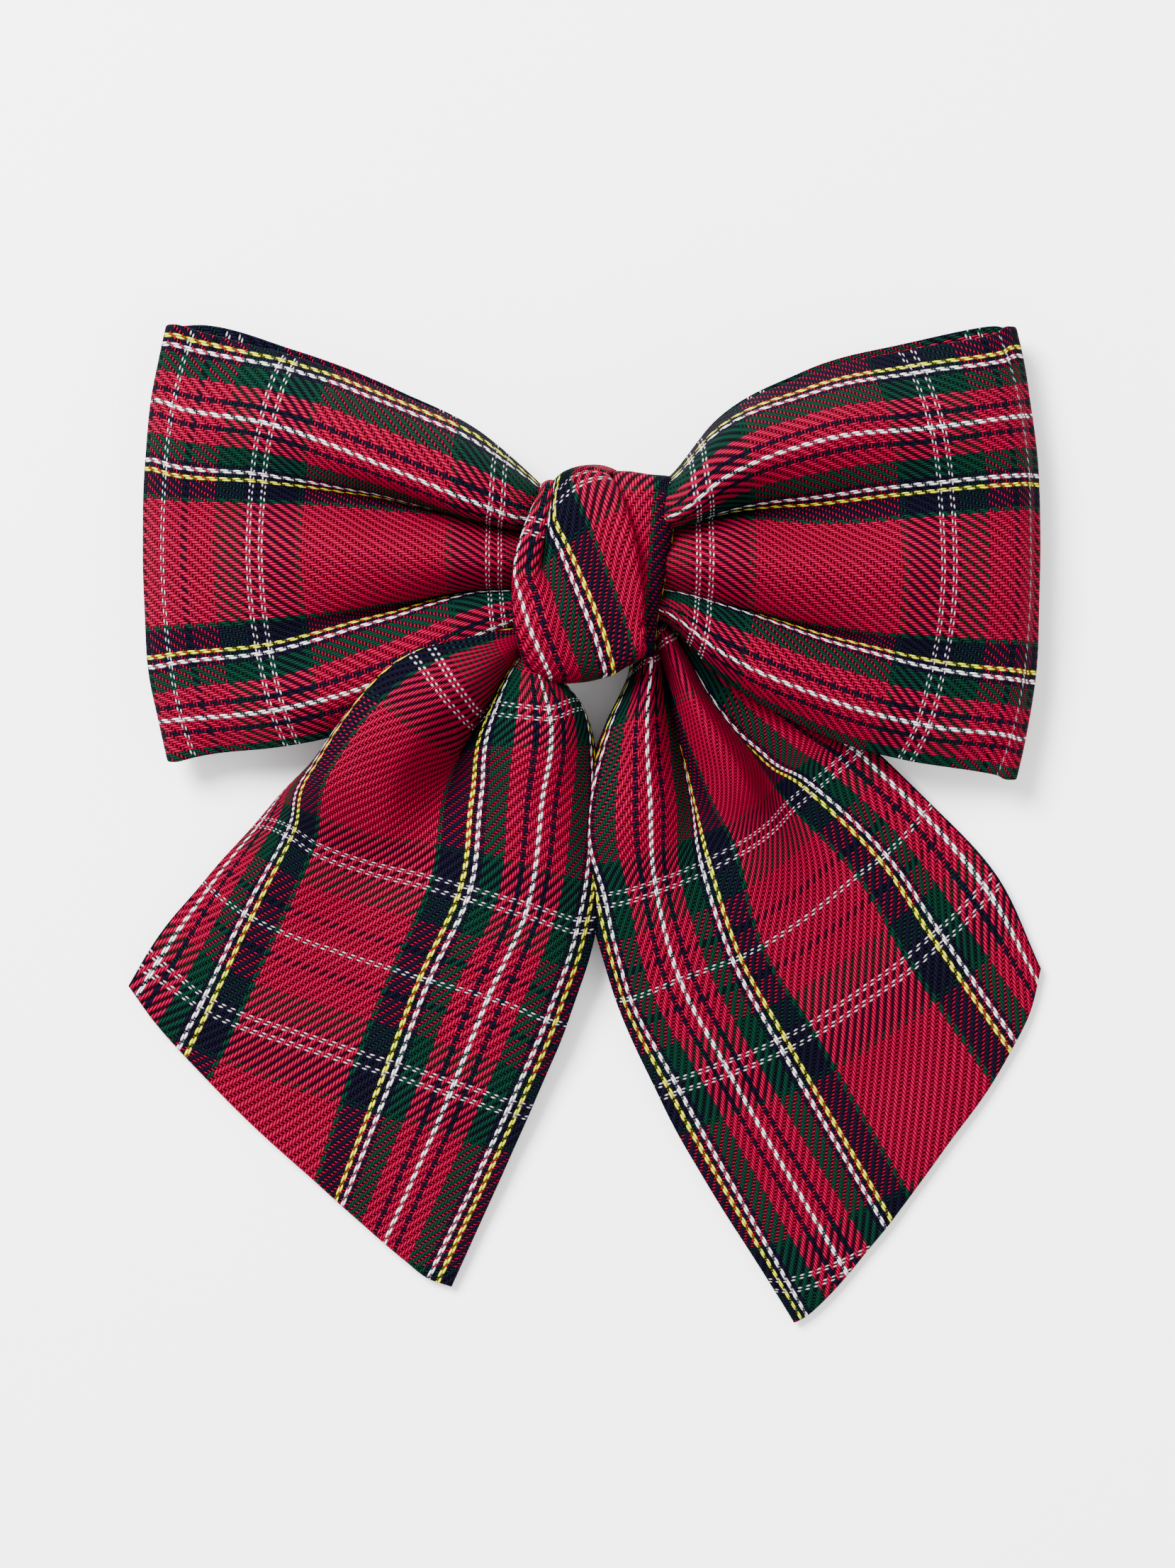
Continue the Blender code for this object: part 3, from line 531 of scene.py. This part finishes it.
# (pick, x of each end, y of each end, z of each end), the ends from the inner edge outwards
LEFT_TAIL = (
    (-134, (-6.5, -7, -7.6, -8.2, -8.6, -9, -9.2, -9.4, -9.4, -9.2, -9, -8.6),
     (-15.5, -15.4, -15, -14.5, -14, -13.5, -13, -12.3, -11.5, -11, -10.5, -10.2),
     (13, 13.5, 14, 14.5, 14, 13.5, 13.5, 15, 15, 14.5, 14, 13)),
    (-122, (-5.5, -6.5, -8.0, -9.6, -11.2, -12.2, -12.8, -13.6, -14, -13.8, -13.2, -12.4),
     (-19.2, -18.7, -18.0, -17.2, -16.5, -15.8, -15.2, -13.8, -12.2, -11.0, -11.2, -11.6),
     (11.5, 13, 15, 16.5, 16.5, 14.5, 13.8, 17.5, 17.3, 16, 14, 12.6)),
    (-105, (-1.8, -2.6, -4.4, -7.5, -12.3, -16.8, -19.4, -23.6, -27.2, -29.0, -27.0, -23.0),
     (-25.0, -23.6, -23.8, -25.0, -24.6, -24.3, -26.0, -22.0, -17.0, -14.4, -15.4, -15.0),
     (9.5, 12.5, 16.0, 18.6, 18.2, 13.5, 9.4, 20.2, 20.6, 17.5, 14.8, 13.0)),
    (-68, (1.2, -0.8, -4.4, -8.8, -13.8, -19.4, -25.4, -34.6, -43.6, -47.2, -48.6, -46.8),
     (-42.5, -42.0, -41.2, -39.5, -38.8, -38.6, -38.2, -36.8, -34.0, -34.6, -34.6, -33.0),
     (7.5, 10.5, 14.0, 16.2, 16.0, 11.6, 7.6, 15.6, 16.6, 13.6, 10.5, 8.6)),
    (-31, (0.5, -3.0, -7.0, -11.4, -16.0, -21.8, -27.8, -38.0, -47.2, -50.8, -54.2, -57.6),
     (-60.4, -60.6, -59.4, -57.9, -56.6, -55.0, -53.4, -50.8, -47.4, -45.0, -43.6, -43.4),
     (7.0, 9.6, 11.2, 12.0, 12.0, 11.0, 9.6, 8.8, 10.4, 10.4, 8.4, 5.0)),
    (0, (-4.6, -8.3, -13.0, -17.9, -23.0, -28.7, -34.4, -44.0, -53.5, -58.2, -62.8, -66.6),
     (-77.6, -76.7, -74.6, -72.8, -71.3, -69.8, -68.0, -65.0, -61.6, -59.4, -56.4, -53.4),
     (4.6, 6.8, 8.0, 8.4, 8.2, 7.8, 7.0, 6.2, 6.2, 6.0, 5.0, 3.4)),
    (31, (-10.9, -14.6, -19.3, -24.1, -29.0, -34.5, -40.6, -50.8, -60.4, -65.4, -71.0, -76.8),
     (-92.6, -91.7, -90.0, -88.4, -86.8, -85.1, -83.2, -80.0, -76.8, -74.6, -70.8, -66.4),
     (3.2, 4.6, 5.2, 5.4, 5.2, 4.8, 4.4, 4.0, 3.8, 3.6, 3.0, 2.2)),
)
LEFT_HEM = (
    (-24.3, -28.3, -32.2, -35.8, -39.5, -43.6, -47.8, -56.8, -65.6, -69.8, -75.2, -79.6),
    (-122.6, -121.2, -118.2, -115.2, -112.0, -108.4, -104.5, -96.5, -87.8, -83.4, -77.2, -71.2),
)
RIGHT_TAIL = (
    (-118, (4.5, 5.2, 6.2, 7.2, 8, 8.6, 9, 9.4, 9.6, 9.6, 9.6, 9.4),
     (-15.0, -14.8, -14.4, -14, -13.4, -12.8, -12.2, -11.6, -11, -10.6, -10.2, -10),
     (11, 11.4, 12, 12.4, 12, 11.4, 11.4, 12, 11.4, 11, 10.8, 10.6)),
    (-104, (6.2, 7.0, 8.2, 9.4, 10.2, 10.8, 11.2, 12.0, 12.6, 12.9, 13.0, 13.0),
     (-18.2, -17.6, -16.6, -15.4, -14.8, -14.2, -13.2, -12.2, -11.4, -11.0, -10.4, -9.8),
     (9.8, 11.4, 13.4, 14.6, 12.6, 10.4, 12.2, 15.0, 11.4, 9.8, 9.6, 9.4)),
    (-93, (2.6, 4.0, 6.4, 8.7, 11.2, 12.8, 13.8, 15.8, 18.6, 19.4, 21.6, 23.6),
     (-26.0, -25.4, -24.2, -23.6, -22.8, -22.0, -21.2, -20.4, -21.4, -22.2, -18.6, -15.6),
     (8.8, 11.4, 14.4, 15.6, 11.4, 7.8, 12.4, 17.4, 9.0, 6.8, 7.8, 7.4)),
    (-68, (-2.2, -0.4, 4.2, 9.2, 13.0, 16.4, 19.4, 23.4, 26.8, 28.4, 32.6, 37.4),
     (-40.6, -41.0, -40.2, -38.6, -38.0, -37.4, -36.8, -33.6, -32.4, -32.2, -28.2, -24.6),
     (8.0, 11.2, 14.0, 14.0, 10.8, 7.0, 12.0, 16.8, 6.2, 5.4, 7.6, 5.8)),
    (-31, (-0.8, 2.2, 6.2, 10.3, 14.2, 19.0, 24.3, 29.2, 33.2, 36.4, 40.6, 46.2),
     (-56.2, -56.2, -55.4, -54.0, -52.6, -50.6, -47.8, -44.2, -40.6, -37.8, -34.2, -29.6),
     (6.8, 9.4, 10.8, 10.8, 9.6, 8.4, 10.6, 11.2, 6.0, 6.4, 6.8, 4.8)),
    (0, (3.8, 6.5, 10.2, 14.5, 19.0, 24.2, 28.8, 37.0, 44.5, 48.5, 52.8, 57.6),
     (-73.4, -73.0, -71.6, -69.8, -68.2, -66.3, -64.0, -58.5, -52.5, -49.5, -45.5, -40.2),
     (4.4, 6.4, 7.6, 8.0, 7.6, 7.2, 7.6, 7.2, 5.6, 5.8, 5.4, 3.4)),
    (31, (10.8, 14.3, 18.5, 22.6, 27.1, 32.3, 37.3, 45.5, 53.5, 58.0, 63.0, 69.0),
     (-89.4, -88.0, -86.5, -85.0, -83.3, -81.0, -78.3, -73.0, -67.3, -63.5, -59.0, -52.6),
     (3.0, 4.4, 5.4, 5.8, 5.4, 5.0, 5.0, 4.6, 4.2, 4.0, 3.4, 2.2)),
)
RIGHT_HEM = (
    (34.2, 36.4, 39.9, 43.4, 46.8, 50.4, 54.2, 61.0, 68.0, 71.2, 74.6, 76.4),
    (-128.8, -127.6, -124.4, -120.6, -116.4, -112.0, -107.0, -97.6, -88.0, -82.4, -75.6, -68.2),
)
HEM_Z = 1.5
HEM_STEPS = (0.0006, 0.0018, 0.004)   # shares of the length where mesh lines close up at the hem
LEFT_HEM_PICK = (85.5, -0.336)        # pick of the hem at end 0, and its change per end
RIGHT_HEM_PICK = (108.0, -0.33)
TAIL_LOWEST = PLY / 2 + 0.25 * MM     # of the middle surface


def make_tail(name, side, rows, hem, hem_pick, node, material, seed):
    """The picks are cut off along the slanted hem, so each end has its own last pick.

    side is -1 for the left tail and 1 for the right one.
    """
    ends = np.array(TAIL_ENDS, float)
    picks = np.array([row[0] for row in rows], float)
    cage = np.array([np.stack(row[1:], axis=1) for row in rows], float)
    hem_z = np.full(len(ends), HEM_Z)
    hem_row = np.stack((*hem, hem_z), axis=1)
    end_places = spaced(ends[0], ends[-1], END, PLY / 2)
    wide = np.stack([spline(ends, row, end_places) for row in (*cage, hem_row)])
    last = hem_pick[0] + hem_pick[1] * end_places
    count = int((last.max() - picks[0]) * PICK / STEP)
    share = np.linspace(0, 1, count)
    share = np.unique(np.concatenate((share, 1 - np.array(HEM_STEPS))))
    points = np.empty((len(share), len(end_places), 3))
    pick_uv = np.empty(points.shape[:2])
    for column, stop in enumerate(last):
        places = picks[0] + share * (stop - picks[0])
        points[:, column] = spline([*picks, stop], wide[:, column], places) * MM
        pick_uv[:, column] = places
    points = ripple(points, RIPPLE, 19 * MM, seed)
    points[..., 2] = np.maximum(points[..., 2], TAIL_LOWEST)
    end_uv = np.broadcast_to(end_places, pick_uv.shape)
    piece = cloth_object(name, points, -end_uv, pick_uv * -side, material, -side)
    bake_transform(piece)
    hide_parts(node)
    return piece


# ---------------------------------------------------------------- knot
# The wrap runs round the neck: up behind it, over the top, down the front and back underneath.
WRAP_ENDS = (-10, -6, 0, 5, 10, 14, 18, 23, 26, 30, 36, 43, 50, 56, 61)
# height of each end over the wrap's own bulge
WRAP_RELIEF = (-3.6, -2.2, -0.9, 0.4, 0.1, 0.0, 0.0, -0.1, 0.1, 0.4, 0.5, 0.6, 0.6, 0.3, -1.3)
WRAP_FRONT = (
    # pick, x of each end, y of each end
    (18,
     (-6.8, -7.6, -8.4, -7.7, -7.0, -6.6, -6.3, -6.0, -5.6, -5.0, -3.8, -2.4, -0.6, 1.0, 2.6),
     (11.4, 12.2, 12.8, 13.2, 13.2, 13.0, 13.4, 14.2, 14.6, 15.1, 15.7, 16.1, 16.2, 15.8, 15.2)),
    (29,
     (-9.0, -10.0, -10.8, -9.5, -8.2, -7.8, -7.5, -7.1, -6.8, -6.3, -5.2, -3.8, -1.6, 0.8, 2.8),
     (6.0, 6.8, 7.4, 7.2, 6.9, 7.8, 9.0, 10.2, 10.9, 11.8, 13.0, 14.2, 15.2, 15.2, 14.4)),
    (37,
     (-11.0, -11.8, -12.2, -10.7, -9.2, -8.7, -8.2, -7.7, -7.3, -6.4, -4.4, -2.3, 0.2, 2.6, 3.8),
     (2.0, 2.6, 3.2, 2.9, 2.7, 3.4, 4.6, 5.8, 6.3, 7.2, 8.8, 10.3, 11.9, 12.8, 12.9)),
    (45,
     (-12.6, -13.0, -12.9, -11.2, -9.7, -8.9, -7.9, -6.5, -5.7, -4.7, -2.6, -0.6, 2.0, 4.4, 5.0),
     (-1.6, -1.5, -1.1, -1.4, -1.3, -0.5, 0.5, 2.0, 2.8, 3.5, 5.0, 6.4, 8.2, 9.6, 10.0)),
    (54,
     (-12.7, -13.2, -12.0, -10.1, -8.3, -7.2, -6.1, -4.8, -3.9, -2.8, -0.8, 1.2, 3.7, 6.0, 6.0),
     (-5.6, -5.6, -5.3, -5.0, -4.6, -4.0, -3.4, -2.4, -1.6, -0.5, 0.6, 2.0, 3.5, 4.6, 5.0)),
    (64,
     (-12.5, -12.9, -10.4, -8.7, -7.0, -5.7, -4.4, -2.9, -1.9, -0.6, 1.2, 3.3, 5.5, 7.2, 6.7),
     (-10.8, -10.9, -10.5, -10.0, -9.5, -9.0, -8.2, -7.2, -6.6, -5.6, -4.4, -3.4, -2.2, -1.3, -1.0)),
    (76,
     (-11.0, -10.9, -8.0, -6.4, -4.6, -3.2, -2.0, -0.4, 0.5, 1.8, 3.5, 5.4, 7.4, 7.8, 6.6),
     (-16.6, -16.6, -16.2, -15.9, -15.5, -15.0, -14.4, -13.3, -12.7, -11.7, -10.5, -9.5, -8.2, -7.7, -7.4)),
    (86,
     (-9.8, -9.2, -7.2, -5.3, -3.5, -2.2, -0.9, 0.9, 1.9, 3.3, 5.0, 7.1, 8.2, 7.7, 6.5),
     (-18.2, -18.4, -18.5, -18.6, -18.6, -18.5, -18.4, -18.1, -17.8, -17.4, -16.4, -15.2,
      -14.2, -13.8, -13.4)),
)
WRAP_CREASE = (1.2, 2.4, 2.4, 1.2, 0.3, 0.0, 0.0, 0.0)     # how far the crease sinks at each row
CREASE_COLUMNS = (5, 6)
SIDE_ENDS = (78, 84, 90, 93, 97, 101, 105, 110)
SIDE_RELIEF = (-2.6, -2.2, -2.4, -2.8, -3.4, -4.6, -6.6, -9.5)
SIDE_FRONT = (
    (40,
     (3.0, 5.8, 8.6, 10.0, 11.6, 12.8, 13.3, 13.2),
     (15.0, 15.0, 14.6, 14.5, 14.4, 14.3, 14.2, 14.0)),
    (46,
     (3.6, 6.0, 8.6, 9.9, 11.4, 12.6, 13.2, 13.2),
     (11.8, 12.2, 12.2, 12.2, 12.0, 11.8, 11.8, 11.6)),
    (58,
     (4.8, 6.4, 8.2, 9.2, 10.6, 11.9, 12.6, 12.6),
     (5.4, 5.6, 5.6, 5.6, 5.5, 5.4, 5.4, 5.4)),
    (70,
     (5.4, 6.6, 7.9, 8.7, 9.9, 11.0, 11.6, 11.6),
     (-0.6, -0.6, -0.8, -0.8, -0.9, -1.0, -1.0, -1.0)),
    (82,
     (5.6, 6.6, 7.6, 8.2, 9.2, 10.0, 10.4, 10.4),
     (-7.2, -7.2, -7.4, -7.4, -7.5, -7.5, -7.5, -7.5)),
    (94,
     (5.4, 6.4, 7.4, 8.0, 8.7, 9.3, 9.6, 9.6),
     (-14.6, -14.6, -14.6, -14.6, -14.5, -14.4, -14.4, -14.4)),
)
WRAP_MIDDLE_Y = -1.4
WRAP_HALF_Y = 17.6
WRAP_FRONT_Z = 23.9
WRAP_DROP = 6.5           # from the middle of the front to its top and bottom edges
WRAP_BACK_Z = 7.9
WRAP_BACK_X = (-11.6, 6.5)    # edges of the wrap behind the knot
SIDE_BACK_X = (7.4, 11.6)
TOP_SIDE_Z = 13.2         # where the wrap passes over the top of the knot and under its bottom
LOW_SIDE_Z = 13.0
BACK_TOP_Y = 10.5         # where it reaches the back
BACK_LOW_Y = -13.2
MESH_SHARE = 1.4          # rows of mesh for each step of the wrap's length

def wrap_cage(ends, relief, front, creases, back_x):
    """Rows of the front as listed, then the rows over the top, underneath and behind."""
    relief = np.asarray(relief, float)
    picks = []
    cage = []
    for (pick, x, y), crease in zip(front, creases):
        y = np.asarray(y, float)
        bulge = WRAP_DROP * np.abs((y - WRAP_MIDDLE_Y) / WRAP_HALF_Y) ** 4
        z = WRAP_FRONT_Z - bulge + relief
        for column in CREASE_COLUMNS:
            z[column] -= crease
        picks.append(pick)
        cage.append(np.stack((x, y, z), axis=1))
    top_x, top_y = cage[0][:, 0], cage[0][:, 1]
    low_x, low_y = cage[-1][:, 0], cage[-1][:, 1]
    behind = np.linspace(*back_x, len(ends))
    start = picks[0]
    end = picks[-1]
    tuck = np.clip(relief, -3.0, 0.0) * 0.15
    before = (
        (start - 44, behind, WRAP_MIDDLE_Y + 0.4, WRAP_BACK_Z),
        (start - 22, behind, BACK_TOP_Y, WRAP_BACK_Z),
        (start - 16, behind, top_y - 1.2, WRAP_BACK_Z + 0.9),
        (start - 9, (top_x + behind) / 2, top_y + 0.2 + tuck, TOP_SIDE_Z),
    )
    after = (
        (end + 8, (low_x + behind) / 2, low_y - 0.5 - tuck, LOW_SIDE_Z),
        (end + 15, behind, low_y + 0.7, WRAP_BACK_Z + 0.7),
        (end + 22, behind, BACK_LOW_Y, WRAP_BACK_Z),
        (end + 44, behind, WRAP_MIDDLE_Y - 0.9, WRAP_BACK_Z),
    )
    picks = [row[0] for row in before] + picks + [row[0] for row in after]
    before, after = (
        [np.stack(np.broadcast_arrays(*row[1:]), axis=1) for row in rows] for rows in (before, after)
    )
    return picks, before + cage + after


def make_wrap(name, ends, relief, front, creases, back_x, material, seed, node=None):
    """A strip wrapped round the knot, built from its cage of rows."""
    picks, cage = wrap_cage(ends, relief, front, creases, back_x)
    end_places = spaced(ends[0], ends[-1], END, PLY / 2)
    count = int((picks[-1] - picks[0]) * PICK / STEP * MESH_SHARE)
    pick_places = np.linspace(picks[0], picks[-1], count)
    points = sheet_points(ends, picks, cage, end_places, pick_places)
    points = ripple(points, 0.10 * MM, 11 * MM, seed)
    end_uv, pick_uv = np.meshgrid(end_places, pick_places)
    piece = cloth_object(name, points, end_uv, pick_uv, material, -1)
    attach(piece, "bow")
    if node:
        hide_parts(node)
    return piece


# ---------------------------------------------------------------- the studio
FLOOR_SIZE = 3.0
FLOOR_Z = -0.1 * MM       # just under the clasp arm, which lies on it
LIGHT_TARGET = (0, -0.03, 0)
CAMERA_DISTANCE = 0.90
CLOTH_HEIGHT = 0.010      # the view's size is right at this height
VIEW_MIDDLE = (-0.0011, -0.0367)
VIEW_HEIGHT = 0.2654
SENSOR = 36.0


def make_floor(material):
    bpy.ops.mesh.primitive_plane_add(size=FLOOR_SIZE, location=(0, 0, FLOOR_Z))
    floor = bpy.context.object
    floor.name = "floor"
    floor.data.materials.append(material)


def make_light(name, location, size, energy, colour):
    data = bpy.data.lights.new(name, "AREA")
    data.size = size
    data.energy = energy
    data.color = colour
    light = bpy.data.objects.new(name, data)
    bpy.context.scene.collection.objects.link(light)
    light.location = location
    way = Vector(LIGHT_TARGET) - Vector(location)
    light.rotation_euler = way.to_track_quat("-Z", "Y").to_euler()


def make_camera():
    """Straight down on the bow: the frame is 199 mm by 265 mm at the cloth's height."""
    data = bpy.data.cameras.new("camera")
    data.sensor_fit = "VERTICAL"
    data.sensor_height = SENSOR
    data.lens = SENSOR * CAMERA_DISTANCE / VIEW_HEIGHT
    data.clip_end = 10.0
    camera = bpy.data.objects.new("camera", data)
    bpy.context.scene.collection.objects.link(camera)
    camera.location = (*VIEW_MIDDLE, CAMERA_DISTANCE + CLOTH_HEIGHT)
    camera.rotation_euler = (0.0, 0.0, 0.0)
    bpy.context.scene.camera = camera


def make_world():
    world = bpy.data.worlds.new("studio")
    bpy.context.scene.world = world
    world.use_nodes = True
    background = world.node_tree.nodes["Background"]
    background.inputs["Color"].default_value = (1.0, 0.995, 0.99, 1.0)
    background.inputs["Strength"].default_value = 1.75


def finish_frame_parts(tartan):
    """Materials for the frame's own parts. The cloth ones are replaced, but keep theirs too."""
    finishes = {
        "thread": thread_material(),
        "plated_steel": steel_material("plated_steel", (0.74, 0.72, 0.69), 0.24, 2500.0),
        "spring_steel": steel_material("spring_steel", (0.62, 0.61, 0.60), 0.34, 3500.0),
        "tartan": tartan,
    }
    for part in frame["record"]["subparts"]:
        node = frame["nodes"][part["node"]]
        node.data.materials.clear()
        node.data.materials.append(finishes[part["material_slot"]])


def main():
    make_camera()
    make_world()
    make_floor(floor_material())
    make_light("key", (-0.60, 0.62, 1.00), 0.60, 96.0, (1.0, 0.985, 0.98))
    make_light("fill", (0.8, -0.5, 0.9), 0.9, 9.0, (0.98, 0.985, 1.0))

    tartan = tartan_material()
    finish_frame_parts(tartan)
    make_loop("left_loop_cloth", LEFT_ENDS, LEFT_FRONT, LEFT_FOLD, 1, "left_loop", tartan, 1)
    make_loop("right_loop_cloth", RIGHT_ENDS, RIGHT_FRONT, RIGHT_FOLD, -1, "right_loop", tartan, 2)
    make_tail(
        "left_tail_cloth", -1, LEFT_TAIL, LEFT_HEM, LEFT_HEM_PICK,
        "left_tail", tartan, 3,
    )
    make_tail(
        "right_tail_cloth", 1, RIGHT_TAIL, RIGHT_HEM, RIGHT_HEM_PICK,
        "right_tail", tartan, 4,
    )
    make_wrap(
        "knot_wrap_cloth", WRAP_ENDS, WRAP_RELIEF, WRAP_FRONT, WRAP_CREASE, WRAP_BACK_X,
        tartan, 5, "knot_wrap",
    )
    no_crease = [0.0] * len(SIDE_FRONT)
    make_wrap(
        "knot_side_cloth", SIDE_ENDS, SIDE_RELIEF, SIDE_FRONT, no_crease, SIDE_BACK_X,
        tartan, 6,
    )


main()
